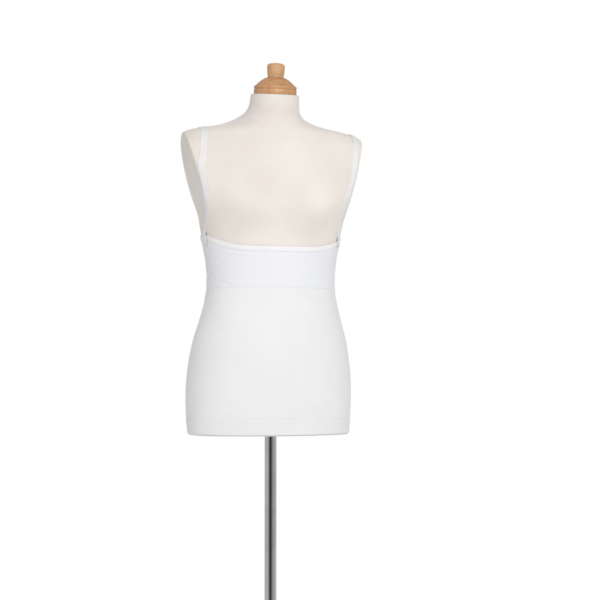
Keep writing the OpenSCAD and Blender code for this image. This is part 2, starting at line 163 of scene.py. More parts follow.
def skin(u, t):
    """Points of the form at outline indices u and angles t in degrees; 270 is the front."""
    s = station(u)
    z, wide, mid, front, back, n = (s[..., k] for k in range(6))
    c, sn = np.cos(np.radians(t)), np.sin(np.radians(t))
    p = 2 / n
    x0 = wide * power(c, p)
    edge = arm_plate_x(z)
    h = np.maximum(ARM_ROUND - np.abs(np.abs(x0) - edge), 0) / ARM_ROUND
    x = np.sign(x0) * (np.minimum(np.abs(x0), edge) - h * h * ARM_ROUND / 4)
    deep = power(sn, p) * np.where(sn < 0, mid - front, back - mid)
    y = mid + deep - np.where(sn < 0, bust(x, z) * ramp(-BUST_FADE * sn), 0)
    lean = ramp((z - LEAN_FOOT) / LEAN_RISE) * math.tan(NECK_TILT)
    return np.stack([x, y, z + lean * (y - mid)], -1)


def unit(v):
    """v at length 1."""
    return v / np.maximum(np.linalg.norm(v, axis=-1, keepdims=True), 1e-9)


def normals(u, t):
    """Outward directions of the form; level at the lower edge, in the tilted plane at the neck."""
    u, t = np.broadcast_arrays(np.asarray(u, float), np.asarray(t, float))
    upward = skin(np.minimum(u + 0.02, LAST), t) - skin(np.maximum(u - 0.02, 0), t)
    sideways = skin(u, t + 0.5) - skin(u, t - 0.5)
    n = np.cross(sideways, upward)
    ends = (u <= 0) | (u >= LAST)
    n[..., 2] = np.where(ends, 0, n[..., 2])
    n = unit(n)
    n[..., 2] = np.where(u >= LAST, n[..., 1] * math.tan(NECK_TILT), n[..., 2])
    return n


def on_skin(u, t, out):
    """Points at a distance outside the form."""
    return skin(u, t) + np.asarray(out)[..., None] * normals(u, t)


def rim_distance(u, t):
    """Signed distance, in millimetres, from the edge of the arm plates: positive on the plate."""
    s = station(u)
    full_width = s[..., 1] * np.abs(power(np.cos(np.radians(t)), 2 / s[..., 5]))
    reach = full_width - arm_plate_x(s[..., 0])
    p = skin(u, t)
    du = np.linalg.norm(np.gradient(p, axis=0), axis=-1)
    dt = np.linalg.norm(np.gradient(p, axis=1), axis=-1)
    slope = np.hypot(np.gradient(reach, axis=0) / du, np.gradient(reach, axis=1) / dt)
    return reach / np.maximum(slope, 0.2)


# ---- Mesh makers ----

def add_mesh(name, points, faces, uvs=None):
    """An object from points in millimetres, faces, and one uv a point in metres."""
    mesh = bpy.data.meshes.new(name)
    mesh.from_pydata((np.asarray(points) * MM).tolist(), [], faces)
    mesh.validate()
    mesh.update()
    mesh.polygons.foreach_set("use_smooth", [True] * len(mesh.polygons))
    if uvs is not None:
        layer = mesh.uv_layers.new(name="cloth")
        index = np.empty(len(mesh.loops), int)
        mesh.loops.foreach_get("vertex_index", index)
        layer.data.foreach_set("uv", np.asarray(uvs, float)[index].ravel())
    obj = bpy.data.objects.new(name, mesh)
    bpy.context.collection.objects.link(obj)
    return obj


def grid_faces(rows, cols, wrap, offset=0, flip=False):
    """Quads of a grid of rows by cols points; wrap joins the last column to the first."""
    faces = []
    for k in range(rows - 1):
        for i in range(cols if wrap else cols - 1):
            a, b = offset + k * cols + i, offset + k * cols + (i + 1) % cols
            quad = (a, b, b + cols, a + cols)
            faces.append(quad[::-1] if flip else quad)
    return faces


def closed_loop_mesh(name, rings, uvs):
    """A closed solid: each ring of points joins the next, and the last joins the first."""
    rings = np.asarray(rings)
    count, cols = rings.shape[:2]
    faces = grid_faces(count, cols, True)
    last = (count - 1) * cols
    for i in range(cols):
        j = (i + 1) % cols
        faces.append((last + i, last + j, j, i))
    return add_mesh(name, rings.reshape(-1, 3), faces, np.asarray(uvs).reshape(-1, 2))


def raise_to_form(points):
    """Moves points that are measured from the form's lower edge to the form's place."""
    return np.asarray(points) + np.array([0, 0, FORM_Z])


def lathe(name, profile, segments):
    """A solid turned piece about its own +Z: a profile of (radius, height) from axis to axis."""
    profile = np.asarray(profile, float)
    angle = np.linspace(0, 2 * math.pi, segments, endpoint=False)
    points = [(0, 0, profile[0][1])]
    for r, z in profile[1:-1]:
        points += [(r * math.cos(a), r * math.sin(a), z) for a in angle]
    points.append((0, 0, profile[-1][1]))
    rows = len(profile) - 2
    faces = grid_faces(rows, segments, True, 1)
    last = 1 + (rows - 1) * segments
    for i in range(segments):
        j = (i + 1) % segments
        faces.append((0, 1 + j, 1 + i))
        faces.append((len(points) - 1, last + i, last + j))
    return add_mesh(name, points, faces)


# ---- Materials ----

WAVE_PERIOD = math.pi / 10  # length of one band of a wave texture at scale 1


class Nodes:
    """A short way to write a material's node tree."""

    def __init__(self, name, **settings):
        self.material = bpy.data.materials.new(name)
        self.material.use_nodes = True
        self.tree = self.material.node_tree
        self.shader = self.tree.nodes["Principled BSDF"]
        for socket, value in settings.items():
            self.shader.inputs[socket.replace("_", " ")].default_value = value

    def add(self, kind, inputs, **settings):
        """A node whose inputs are set to values or linked to other nodes' outputs."""
        node = self.tree.nodes.new(kind)
        for key, value in settings.items():
            setattr(node, key, value)
        for key, value in inputs.items():
            if isinstance(value, bpy.types.NodeSocket):
                self.tree.links.new(value, node.inputs[key])
            else:
                node.inputs[key].default_value = value
        return node

    def link(self, output, socket):
        """Feeds an output to a socket of the shader."""
        self.tree.links.new(output, self.shader.inputs[socket])

    def surface(self, output):
        """Makes an output the material's surface."""
        self.tree.links.new(output, self.tree.nodes["Material Output"].inputs["Surface"])

    def coords(self, kind="Object", scale=(1, 1, 1)):
        """The piece's own coordinates, or its cloth's with kind UV."""
        source = self.add("ShaderNodeTexCoord", {})
        mapping = self.add("ShaderNodeMapping", {"Vector": source.outputs[kind], "Scale": scale})
        return mapping.outputs["Vector"]

    def noise(self, vector, scale, detail=3.0, rough=0.5):
        """Cloudy noise about 0.5, scale patches a metre."""
        inputs = {"Vector": vector, "Scale": scale, "Detail": detail, "Roughness": rough}
        return self.add("ShaderNodeTexNoise", inputs).outputs["Fac"]

    def wave(self, vector, period, axis, distortion, detail_scale=1.0):
        """Even bands across an axis, a period apart in metres."""
        inputs = {"Vector": vector, "Scale": WAVE_PERIOD / period, "Distortion": distortion,
                  "Detail": 1.0, "Detail Scale": detail_scale}
        return self.add("ShaderNodeTexWave", inputs, bands_direction=axis).outputs["Fac"]

    def math(self, operation, a, b):
        """The result of one operation on two values."""
        return self.add("ShaderNodeMath", {0: a, 1: b}, operation=operation).outputs[0]

    def blend(self, a, b, share=0.5):
        """The sum of share of a and the rest of b."""
        return self.math("ADD", self.math("MULTIPLY", a, share), self.math("MULTIPLY", b, 1 - share))

    def mix(self, factor, a, b, **settings):
        """Colour a turning into colour b."""
        node = self.add("ShaderNodeMix", {0: factor, 6: a, 7: b}, data_type="RGBA", **settings)
        return node.outputs[2]

    def ramp(self, value, *stops):
        """A colour for a value, eased between stops of (value, colour)."""
        node = self.add("ShaderNodeValToRGB", {"Fac": value})
        node.color_ramp.interpolation = "EASE"
        while len(node.color_ramp.elements) < len(stops):
            node.color_ramp.elements.new(0.5)
        for element, (place, colour) in zip(node.color_ramp.elements, stops):
            element.position = place
            element.color = (*colour, 1)
        return node.outputs["Color"]

    def bump(self, height, strength, distance):
        """Surface directions for a height."""
        inputs = {"Height": height, "Strength": strength, "Distance": distance}
        return self.add("ShaderNodeBump", inputs).outputs["Normal"]

    def spread(self, value, least, most):
        """A noise value, which runs about 0.3 to 0.7, spread over least to most."""
        inputs = {"Value": value, "From Min": 0.3, "From Max": 0.7, "To Min": least, "To Max": most}
        return self.add("ShaderNodeMapRange", inputs).outputs["Result"]


def knit(name, dark, light, wale, course, strength=0.25, rough=0.9):
    """A knitted cloth: wales and courses of so many metres on the piece's cloth coordinates."""
    m = Nodes(name, Roughness=rough, Sheen_Weight=0.3, Sheen_Roughness=0.5, Specular_IOR_Level=0.25)
    cloth = m.coords("UV")
    space = m.coords()
    wales = m.wave(cloth, wale, "X", distortion=0.35, detail_scale=2.0)
    courses = m.wave(cloth, course, "Y", distortion=0.5, detail_scale=2.0)
    loops = m.math("MULTIPLY", wales, m.math("ADD", m.math("MULTIPLY", courses, 0.5), 0.5))
    fuzz = m.noise(space, 700, 4.0, 0.6)
    uneven = m.noise(space, 9)
    colour = m.ramp(uneven, (0.3, dark), (0.7, light))
    # Painted shade: between the loops the colour is drawn towards a darker copy of the dark tone, as if
    # the hollows of the knit were in shadow; depth is how much of this painted shade each point gets.
    loop_gap_shade = (*[c * 0.72 for c in dark], 1)
    depth = m.math("MULTIPLY", m.math("SUBTRACT", 1.0, loops), 0.22)
    m.link(m.mix(depth, colour, loop_gap_shade), "Base Color")
    height = m.math("ADD", m.math("MULTIPLY", loops, 0.8), m.math("MULTIPLY", fuzz, 0.5))
    m.link(m.bump(height, strength, 0.0004), "Normal")
    m.link(m.spread(fuzz, rough - 0.08, rough + 0.05), "Roughness")
    return m.material


def elastic(name, dark, light, along="Y"):
    """Satin-faced elastic: fine ribs along its length, crossed by wider picks."""
    m = Nodes(name, Roughness=0.55, Sheen_Weight=0.25, Specular_IOR_Level=0.4)
    cloth = m.coords("UV")
    ribs = m.wave(cloth, 0.0011, "X" if along == "Y" else "Y", distortion=0.1)
    picks = m.wave(cloth, 0.0017, along, distortion=0.2)
    tone = m.noise(m.coords(), 40)
    m.link(m.ramp(tone, (0.3, dark), (0.7, light)), "Base Color")
    height = m.math("ADD", m.math("MULTIPLY", ribs, 0.7), m.math("MULTIPLY", picks, 0.45))
    m.link(m.bump(height, 0.3, 0.0004), "Normal")
    m.link(m.spread(tone, 0.48, 0.62), "Roughness")
    return m.material


def turned_wood(name, dark, light, coat, ring=0.011, rough=0.38):
    """Wood turned about +Z: growth rings so many metres apart, pores and a thin lacquer."""
    m = Nodes(name, Roughness=rough, Coat_Weight=coat, Coat_Roughness=0.18)
    rings = {"Vector": m.coords("Object", (1, 1, 0.32)), "Scale": WAVE_PERIOD / ring,
             "Distortion": 5.0, "Detail": 2.0, "Detail Scale": 9.0}
    figure = m.add("ShaderNodeTexWave", rings, wave_type="RINGS", rings_direction="X").outputs["Fac"]
    fibre = m.noise(m.coords("Object", (1, 1, 0.06)), 900, 3.0, 0.6)
    tone = m.noise(m.coords("Object", (1, 1, 0.4)), 26)
    colour = m.ramp(m.blend(figure, tone, 0.3), (0.25, light), (0.95, dark))
    pores = m.ramp(fibre, (0.32, (0.62, 0.62, 0.62)), (0.52, (1, 1, 1)))
    m.link(m.mix(0.55, colour, pores, blend_type="MULTIPLY"), "Base Color")
    m.link(m.bump(fibre, 0.12, 0.0003), "Normal")
    m.link(m.spread(fibre, rough - 0.06, rough + 0.1), "Roughness")
    return m.material


def metal(name, colour, rough, scratch, brushed=(1, 1, 1)):
    """Plated or turned metal: fine scratches, faint smears and duller patches."""
    m = Nodes(name, Metallic=1.0, Roughness=rough)
    lines = m.noise(m.coords("Object", brushed), 260, 4.0, 0.65)
    smears = m.noise(m.coords(), 14, 4.0, 0.6)
    worn = tuple(c * 0.8 for c in colour)
    m.link(m.ramp(smears, (0.35, colour), (0.8, worn)), "Base Color")
    m.link(m.spread(m.blend(lines, smears), rough - scratch, rough + scratch), "Roughness")
    m.link(m.bump(lines, 0.04, 0.0001), "Normal")
    return m.material


def plastic(name, dark, light, rough, grain=1200, depth=0.12):
    """Moulded plastic, rubber or thread: fine surface grain and a slightly uneven tone."""
    m = Nodes(name, Roughness=rough)
    fine = m.noise(m.coords(), grain, 3.0, 0.6)
    tone = m.noise(m.coords(), 30)
    m.link(m.ramp(tone, (0.3, dark), (0.7, light)), "Base Color")
    m.link(m.bump(fine, depth, 0.0003), "Normal")
    m.link(m.spread(fine, rough - 0.07, rough + 0.07), "Roughness")
    return m.material


def plywood(name, dark, light):
    """Sanded board: long grain across the face and soft dark streaks."""
    m = Nodes(name, Roughness=0.62)
    streak = m.noise(m.coords("Object", (1, 0.08, 1)), 180, 4.0, 0.6)
    tone = m.noise(m.coords("Object", (1, 0.25, 1)), 12)
    m.link(m.ramp(m.blend(streak, tone), (0.35, light), (0.7, dark)), "Base Color")
    m.link(m.bump(streak, 0.15, 0.0004), "Normal")
    m.link(m.spread(tone, 0.55, 0.72), "Roughness")
    return m.material


JERSEY = knit("cream jersey", (0.81, 0.755, 0.70), (0.87, 0.82, 0.765), wale=0.0011, course=0.0009)
SLIP = knit("slip knit", (0.84, 0.84, 0.855), (0.88, 0.88, 0.89), wale=0.0009, course=0.0007,
            strength=0.15, rough=0.7)
BAND = knit("slip band knit", (0.83, 0.84, 0.88), (0.875, 0.88, 0.915), wale=0.0013, course=0.0007,
            strength=0.2, rough=0.72)
ELASTIC = elastic("slip elastic", (0.80, 0.785, 0.785), (0.85, 0.835, 0.835))
BINDING = elastic("slip binding", (0.86, 0.835, 0.85), (0.90, 0.88, 0.89), along="X")
THREAD = plastic("polyester thread", (0.80, 0.79, 0.79), (0.9, 0.89, 0.89), 0.5, grain=3000)
CAP_WOOD = turned_wood("lacquered cap wood", (0.46, 0.21, 0.085), (0.62, 0.335, 0.155), coat=0.1)
KNOB_WOOD = turned_wood("lacquered knob wood", (0.48, 0.25, 0.12), (0.66, 0.39, 0.20), coat=0.1,
                        ring=0.008)
DOWEL_WOOD = turned_wood("bare beech", (0.55, 0.36, 0.19), (0.78, 0.58, 0.36), coat=0, rough=0.6)
BOARD = plywood("sanded plywood", (0.40, 0.26, 0.14), (0.66, 0.48, 0.29))
CHROME = metal("chrome plating", (0.80, 0.81, 0.83), 0.09, scratch=0.05)
STEEL = metal("zinc-plated steel", (0.52, 0.53, 0.54), 0.36, scratch=0.1)
ALUMINIUM = metal("turned aluminium", (0.72, 0.73, 0.74), 0.3, scratch=0.1, brushed=(1, 1, 30))
BRASS = metal("brass", (0.70, 0.50, 0.20), 0.3, scratch=0.1)
RUBBER = plastic("foot rubber", (0.012, 0.012, 0.013), (0.03, 0.03, 0.031), 0.85, grain=600, depth=0.3)
NYLON = plastic("natural nylon", (0.66, 0.65, 0.61), (0.76, 0.75, 0.71), 0.5)
KNOB = plastic("knob plastic", (0.012, 0.012, 0.014), (0.024, 0.024, 0.027), 0.48, grain=1500)
GLOSS_WHITE = plastic("gloss white plastic", (0.82, 0.82, 0.83), (0.9, 0.9, 0.9), 0.16, depth=0.03)
SHELL = plastic("moulded shell", (0.56, 0.48, 0.37), (0.68, 0.61, 0.50), 0.6, grain=300, depth=0.25)


def finish_with(obj, material, body):
    """Gives a piece its material and the body it rides on."""
    obj.data.materials.append(material)
    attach(obj, body)
    return obj


# ---- Camera ----

VIEW_AZIMUTH = math.radians(-13)
VIEW_DISTANCE_M = 3.0
EYE_UP, AIM_UP, AIM_RIGHT = 150, 281, 61.5  # from the form's lower edge, and from its middle
LENS_MM, SENSOR_MM = 85.7, 36


def add_camera():
    """A long lens in front of the form, a little to its right and level with its hips."""
    right = Vector((math.cos(VIEW_AZIMUTH), math.sin(VIEW_AZIMUTH), 0))
    place = Vector((math.sin(VIEW_AZIMUTH), -math.cos(VIEW_AZIMUTH), 0)) * VIEW_DISTANCE_M
    place.z = (FORM_Z + EYE_UP) * MM
    aim = right * AIM_RIGHT * MM
    aim.z = (FORM_Z + AIM_UP) * MM
    data = bpy.data.cameras.new("camera")
    data.sensor_width = SENSOR_MM
    data.lens = LENS_MM
    data.clip_end = 100
    camera = bpy.data.objects.new("camera", data)
    camera.location = place
    camera.rotation_euler = (aim - place).to_track_quat("-Z", "Y").to_euler()
    bpy.context.collection.objects.link(camera)
    bpy.context.scene.camera = camera


add_camera()

# ---- The form: jersey cover over a moulded shell ----

COLUMNS = 288
ANGLES = np.linspace(0, 360, COLUMNS, endpoint=False)
GIRTH_M = 0.9  # mean girth of the form, which the cloth coordinates run round
COVER_ROWS, SHELL_ROWS = 250, 120
SHELL_OUT, SHELL_IN = -1.4, -6.3  # the shell's faces, measured from the form's outline
SHELL_FOOT, SHELL_HEAD = 1.4, 1.3  # how far the shell stays inside the form's lower edge and top
NECK_TURNING = (48, 38)  # radii of the cover's last rings, turned in under the cap
FOOT_TURNING = 7  # how far the cover is turned in under the lower edge
SIDE_R, BACK_R = 100, 120  # mean radii of the form, to measure along it from the seams
COLLAR_FOOT, COLLAR_TOP = 668, 706  # heights between which the cloth is gathered at the neck


def seam(distance, deep, wide, roll, roll_wide):
    """A seam seen from outside: a groove with a low roll of folded cloth on either side."""
    return roll * near(np.abs(distance) - 3.2, roll_wide) - deep * near(distance, wide)


def cover_relief(u, t):
    """How far the jersey stands off the plain outline: piping, seams, unevenness and gathers."""
    p = skin(u, t)
    x, y, z = p[..., 0], p[..., 1], p[..., 2]
    rim = rim_distance(u, t)
    piping = 0.9 * near(rim, 2.0) - 0.5 * near(rim + 3.4, 1.2) - 0.5 * near(rim - 3.4, 1.2)
    from_side = np.where(np.cos(np.radians(t)) > 0, (t + 180) % 360 - 180, t - 180)
    side_seams = seam(np.radians(from_side) * SIDE_R, 0.55, 1.3, 0.25, 1.6) * ramp(-rim / 6)
    back_seam = seam(np.radians(t - 90) * BACK_R, 0.5, 1.2, 0.22, 1.6)
    uneven = 0.35 * np.sin(x / 23 + z / 41) * np.sin(y / 31 - z / 37) * ramp((z - 20) / 60)
    collar = ramp((z - COLLAR_FOOT) / 20) * ramp((COLLAR_TOP - z) / 8)
    gathers = 0.12 * collar * np.sin(np.radians(t) * 46 + 3 * np.sin(np.radians(t) * 7))
    return (piping + side_seams + back_seam + uneven + gathers) * ramp(z / 12)


def neck_ring(r):
    """A round ring in the neck's tilted top plane."""
    a = np.radians(ANGLES)
    back = r * np.sin(a)
    return np.stack([r * np.cos(a), NECK_Y + back * math.cos(NECK_TILT),
                     NECK_Z + back * math.sin(NECK_TILT)], -1)


def body_places(rows):
    """Outline indices and angles of a grid over the whole form."""
    u = index_at(np.linspace(0, NECK_Z, rows))[:, None]
    return np.broadcast_arrays(u, ANGLES[None, :])


def cloth_uv(rings):
    """Cloth coordinates in metres: round the body at a constant girth, and up it."""
    z = rings[..., 2].mean(axis=1, keepdims=True)
    return np.stack(np.broadcast_arrays(ANGLES / 360 * GIRTH_M, z * MM), -1)


def make_cover():
    """One sheet of jersey: turned in under the lower edge, over the body, and in under the cap."""
    u, t = body_places(COVER_ROWS)
    over_body = on_skin(u, t, cover_relief(u, t))
    foot = np.zeros(COLUMNS)
    turned_in = on_skin(foot, ANGLES, -FOOT_TURNING)
    fold = on_skin(foot, ANGLES, -0.4) - np.array([0, 0, 0.2])
    rings = np.concatenate([[turned_in, fold], over_body, [neck_ring(r) for r in NECK_TURNING]])
    faces = grid_faces(len(rings), COLUMNS, True)
    points = raise_to_form(rings).reshape(-1, 3)
    cover = add_mesh("jersey_cover", points, faces, cloth_uv(rings).reshape(-1, 2))
    finish_with(cover, JERSEY, "form")
    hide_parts("torso_cover")
    return cover


def make_shell():
    """The rigid shell under the cover."""
    u, t = body_places(SHELL_ROWS)
    outer, inner = on_skin(u, t, SHELL_OUT), on_skin(u, t, SHELL_IN)
    for face in (outer, inner):
        face[0, :, 2] = SHELL_FOOT
        face[-1, :, 2] -= SHELL_HEAD
    rings = np.concatenate([outer, inner[::-1]])
    shell = closed_loop_mesh("moulded_shell", raise_to_form(rings), cloth_uv(rings))
    finish_with(shell, SHELL, "form")
    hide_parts("torso_shell")


# ---- The slip ----

HEM_Z, HEM_TOP, BAND_Z, TOP_Z, TOP_RISE = 2, 34, 303, 387, 28
BACK_RISE = 8  # how much higher the slip's top edge is in the middle of the back
HEM_ROW_LOW, HEM_ROW_HIGH = 26, 29.5  # the hem's two rows of stitches
BINDING_H = 11
SEAM_GAP = 0.06
SLIP_UNDER = 0.8  # the slip's inner face above the form's outline
WAIST_Z, SIDE_Z, TUMMY_Z = 322, 300, 285  # heights about which each group of folds gathers


def top_edge(t):
    """Height of the slip's top edge, which rises towards the sides."""
    s, c = np.sin(np.radians(t)), np.cos(np.radians(t))
    return TOP_Z + np.where(s > 0, BACK_RISE * s, 0) + TOP_RISE * np.abs(c) ** 4


def wander(t, z, seed):
    """Slow, uneven drift of about -1 to 1, so that folds don't repeat."""
    a = np.radians(t)
    return (np.sin(2 * a + seed) * np.sin(z / 47 + 1.7 * seed) + 0.6 * np.sin(5 * a - seed + z / 31)
            + 0.4 * np.sin(9 * a + 2.3 * seed - z / 19)) / 2


# Patches of creases, mostly where the band is drawn round the sides of the waist, one a row:
# angle, height, half width in degrees, half height, tilt, pitch and depth
PUCKERS = [
    (220, 313, 13, 8, 0.3, 2.0, 1.1),
    (206, 350, 9, 12, -0.8, 2.6, 0.9),
    (196, 330, 8, 16, 0.6, 2.8, 0.6),
    (311, 338, 6, 22, 3.2, 2.6, 0.85),
    (325, 322, 8, 14, 1.2, 2.4, 0.7),
    (228, 370, 20, 5, 0.18, 1.6, 0.7),
    (290, 299, 18, 8, 0.2, 2.2, 0.3),
    (262, 309, 14, 6, -0.15, 1.9, 0.3),
]


def slip_folds(t, z):
    """How far the slip stands off the form: it bridges hollows and creases at the waist."""
    a = np.radians(t)
    s, c = np.sin(a), np.cos(a)
    back, front = np.clip(s, 0, 1), np.clip(-s, 0, 1)
    waist = near(z - WAIST_Z, 46)
    drift = wander(t, z, 1.3)
    lumbar = 1.5 * waist * back ** 2
    creases = 0.75 * waist * back ** 2 * np.sin((z + 14 * np.cos(2 * a) + 9 * drift) / 4.6)
    sides = 0.4 * near(z - SIDE_Z, 40) * np.abs(c) ** 3 * np.sin((z + 30 * s + 12 * drift) / 4.2)
    tummy = 0.22 * near(z - TUMMY_Z, 26) * front * np.sin((z + 10 * drift) / 3.6 + 3 * s)
    hem_wave = 0.5 * near(z - HEM_Z, 46) * (1 + np.sin(7 * a + 2 * drift))
    soft = 0.3 * drift * ramp((z - 20) / 40)
    for angle, height, wide, tall, tilt, pitch, deep in PUCKERS:
        reach = (t - angle) / wide
        rise = (z - height) / tall
        slope = (z - height) + tilt * (t - angle)
        soft = soft + deep * np.exp(-reach ** 2 - rise ** 2) * np.sin(slope / pitch)
    return lumbar + creases + sides + tummy + hem_wave + soft


EDGE_ROWS = np.array([0, 0.1, 0.25, 0.5, 0.9])  # heights of the close rows along a strip's edges
CUT_EDGE, CUT_THIN = 0.6, 0.75  # reach and least thickness of an edge sewn to the next piece
FOLD_THIN = 0.3                 # an edge that is folded over


def rounded_edge(distance, depth):
    """The share of a strip's thickness at a distance from its edge: full from depth onwards."""
    thin = CUT_THIN if depth == CUT_EDGE else FOLD_THIN
    full = np.clip(distance / depth, 0, 1)
    return thin + (1 - thin) * np.sqrt(1 - (1 - full) ** 2)


def cloth_strip(name, low_z, high_z, thick, rows, relief=None, low_edge=CUT_EDGE, high_edge=CUT_EDGE):
    """A closed strip of cloth round the body between two edges given as heights at each angle.

    low_edge and high_edge say how far, in millimetres, the strip takes to reach its full
    thickness from each edge.
    """
    low_z = np.broadcast_to(low_z, COLUMNS)
    high_z = np.broadcast_to(high_z, COLUMNS)
    height = high_z - low_z
    margin = EDGE_ROWS[-1]
    share = np.linspace(0, 1, rows, endpoint=False)[1:, None]
    middle = margin + (height - 2 * margin) * share
    rise = np.concatenate([EDGE_ROWS[:, None] + 0 * height, middle, height - EDGE_ROWS[::-1, None]])
    z = low_z + rise
    t = np.broadcast_to(ANGLES, z.shape)
    u = index_at(z)
    inside = SLIP_UNDER + slip_folds(t, z)
    extra = relief(t, z, rise / height) if relief else 0
    crown = rounded_edge(z - low_z, low_edge) * rounded_edge(high_z - z, high_edge)
    outer = on_skin(u, t, inside + thick * crown + extra)
    inner = on_skin(u, t, inside)
    rings = np.concatenate([outer, inner[::-1]])
    return closed_loop_mesh(name, raise_to_form(rings), cloth_uv(rings))


# Each relief adds to a strip's outer face at angles t, heights z and shares f of the strip's height

def hem_relief(t, z, f):
    """A turned hem: a rolled lower fold and a small ridge where the turning ends."""
    fold = 0.35 * near(z - HEM_Z - 3, 3)
    stitch_lines = -0.2 * (near(z - HEM_ROW_LOW, 0.9) + near(z - HEM_ROW_HIGH, 0.9))
    tucks = 0.1 * np.sin(np.radians(t) * 110) * near(z - 30, 6)
    thin = -0.6 * ramp((z - HEM_TOP + 4) / 4)
    return fold + stitch_lines + tucks + thin


def band_relief(t, z, f):
    """The wide band: two knitted layers that thin out to the skirt at the lower seam."""
    return -0.3 * near(f, 0.05) + 0.18 * near(f - 0.1, 0.05)


def binding_relief(t, z, f):
    """The elastic top binding: a soft roll with gathers across it."""
    gathers = 0.16 * np.sin(np.radians(t) * 150 + 2 * np.sin(np.radians(t) * 5))
    return gathers + 0.35 * near(f - 0.95, 0.12) - 0.3 * near(f - 0.22, 0.06)


def make_slip():
    """The four parts of the slip's body: skirt, hem, band and binding."""
    band_top = top_edge(ANGLES) - BINDING_H
    skirt = cloth_strip("slip_skirt", HEM_TOP + SEAM_GAP, BAND_Z, 1.2, 100)
    hem = cloth_strip("slip_turned_hem", HEM_Z, HEM_TOP, 1.8, 30, hem_relief, low_edge=1.6)
    band = cloth_strip("slip_waistband", BAND_Z + SEAM_GAP, band_top - SEAM_GAP, 1.5, 44, band_relief)
    binding = cloth_strip("slip_binding", band_top, top_edge(ANGLES), 2.1, 20, binding_relief,
                          low_edge=2.0, high_edge=2.6)
    for obj, node, material, slot in ((skirt, "slip_body", SLIP, "slip_knit"),
                                      (hem, "slip_hem", SLIP, "slip_knit"),
                                      (band, "slip_band", BAND, "slip_band_knit"),
                                      (binding, "slip_top_binding", BINDING, "slip_elastic")):
        finish_with(obj, material, "form")
        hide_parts(node)
    return skirt, hem, band, binding


# ---- Straps ----

LEFT, RIGHT = 1, -1

# The routes of each strap's front and back, as in the CAD part: height and distance from the middle
FRONT_ROUTES = {
    RIGHT: [(385, 138), (400, 141), (420, 145.5), (480, 151), (545, 163), (625, 152), (640, 150)],
    LEFT: [(400, 131), (480, 138), (550, 163), (625, 172), (636, 174)],
}
BACK_ROUTES = {
    RIGHT: [(400, 100), (520, 132), (600, 147), (640, 150)],
    LEFT: [(400, 100), (520, 138), (600, 166), (636, 174)],
}
RIDGE_LOW, RIDGE_HIGH = 16, 24  # the stations between which the shoulder's ridge lies
FRONT_END, BACK_END = 6, 1      # the straps' ends above the slip's front height
STRAP_W, STRAP_UP, STRAP_T = 14, 0.2, 1.0
STRAP_STEP, STEP_START, STEP_LENGTH = 3.2, 1.5, 9  # the ends' step up onto the binding

# A strap's cross-section: places across it as shares of half its width, and its thickness there
SECTION_PLACES = np.array([-1, -0.97, -0.85, -0.5, 0, 0.5, 0.85, 0.97, 1])
SECTION_CROWN = np.array([0.55, 0.85, 1, 0.93, 0.9, 0.93, 1, 0.85, 0.55])


def strap_place(f, hand):
    """A strap's outline index and angle at f, which runs from -1 at the front end to 1 at the back."""
    top_x = FRONT_ROUTES[hand][-1][1]
    ridge = np.linspace(RIDGE_LOW, RIDGE_HIGH, 800)
    top_u = np.interp(-top_x, -station(ridge)[:, 1], ridge)
    top = station(top_u)[0]
    z = top + (TOP_Z + np.where(f < 0, FRONT_END, BACK_END) - top) * np.abs(f) ** 1.8
    front, back = np.array(FRONT_ROUTES[hand]).T, np.array(BACK_ROUTES[hand]).T
    x = np.where(f < 0, np.interp(z, *front), np.interp(z, *back))
    u = index_at(z)
    s = station(u)
    angle = np.degrees(np.arccos(np.minimum(1, x / s[:, 1]) ** (s[:, 5] / 2)))
    angle = np.where(f < 0, -angle, angle)
    return u, angle if hand == LEFT else 180 - angle


def strap_frames(f, hand):
    """Outline indices, angles, points, outward and sideways directions along a strap's middle."""
    u, t = strap_place(f, hand)
    p = skin(u, t)
    ahead = unit(np.gradient(p, axis=0))
    up = normals(u, t)
    side = unit(np.cross(ahead, up))
    return u, t, p, up, side


def across(u, t, side, reach):
    """The outline index and angle of the point that lies reach to the side of (u, t)."""
    pu = (skin(np.minimum(u + 0.05, LAST), t) - skin(np.maximum(u - 0.05, 0), t)) / 0.1
    pt = skin(u, t + 0.5) - skin(u, t - 0.5)
    a, b, c = (pu * pu).sum(-1), (pu * pt).sum(-1), (pt * pt).sum(-1)
    d, e = (pu * side).sum(-1), (pt * side).sum(-1)
    det = a * c - b * b
    return u + reach * (c * d - b * e) / det, t + reach * (a * e - b * d) / det


def make_strap(hand, name, node):
    """A flat elastic strap that lies on the form, with rolled edges and ends stepped onto the slip."""
    u, t, p, up, side = strap_frames(np.linspace(-1, 1, 150), hand)
    above_edge = station(u)[:, 0] - top_edge(t)
    lift = STRAP_UP + STRAP_STEP * (1 - ramp((above_edge - STEP_START) / STEP_LENGTH))
    places = SECTION_PLACES * STRAP_W / 2
    low_rows, high_rows = [], []
    for reach, full in zip(places, SECTION_CROWN):
        flat = p + side * reach
        hug = skin(*across(u, t, side, reach))
        clear = np.maximum(((flat - hug) * up).sum(-1) / 2, 0)
        low_rows.append(hug + up * (clear + lift)[:, None])
        high_rows.append(hug + up * (clear + lift + STRAP_T * full)[:, None])
    section = np.stack(low_rows + high_rows[::-1], 1)
    rows, count = section.shape[:2]
    faces = grid_faces(rows, count, True, flip=True)
    faces.append(tuple(range(count)))
    faces.append(tuple((rows - 1) * count + i for i in reversed(range(count))))
    run = np.concatenate([[0], np.cumsum(np.linalg.norm(np.diff(p, axis=0), axis=1))])
    wide = np.concatenate([places, places[::-1]])
    uv = np.stack(np.broadcast_arrays(wide[None, :] * MM, run[:, None] * MM), -1)
    strap = add_mesh(name, raise_to_form(section).reshape(-1, 3), faces, uv.reshape(-1, 2))
    finish_with(strap, ELASTIC, "form")
    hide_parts(node)
    return strap


# ---- Stitches ----

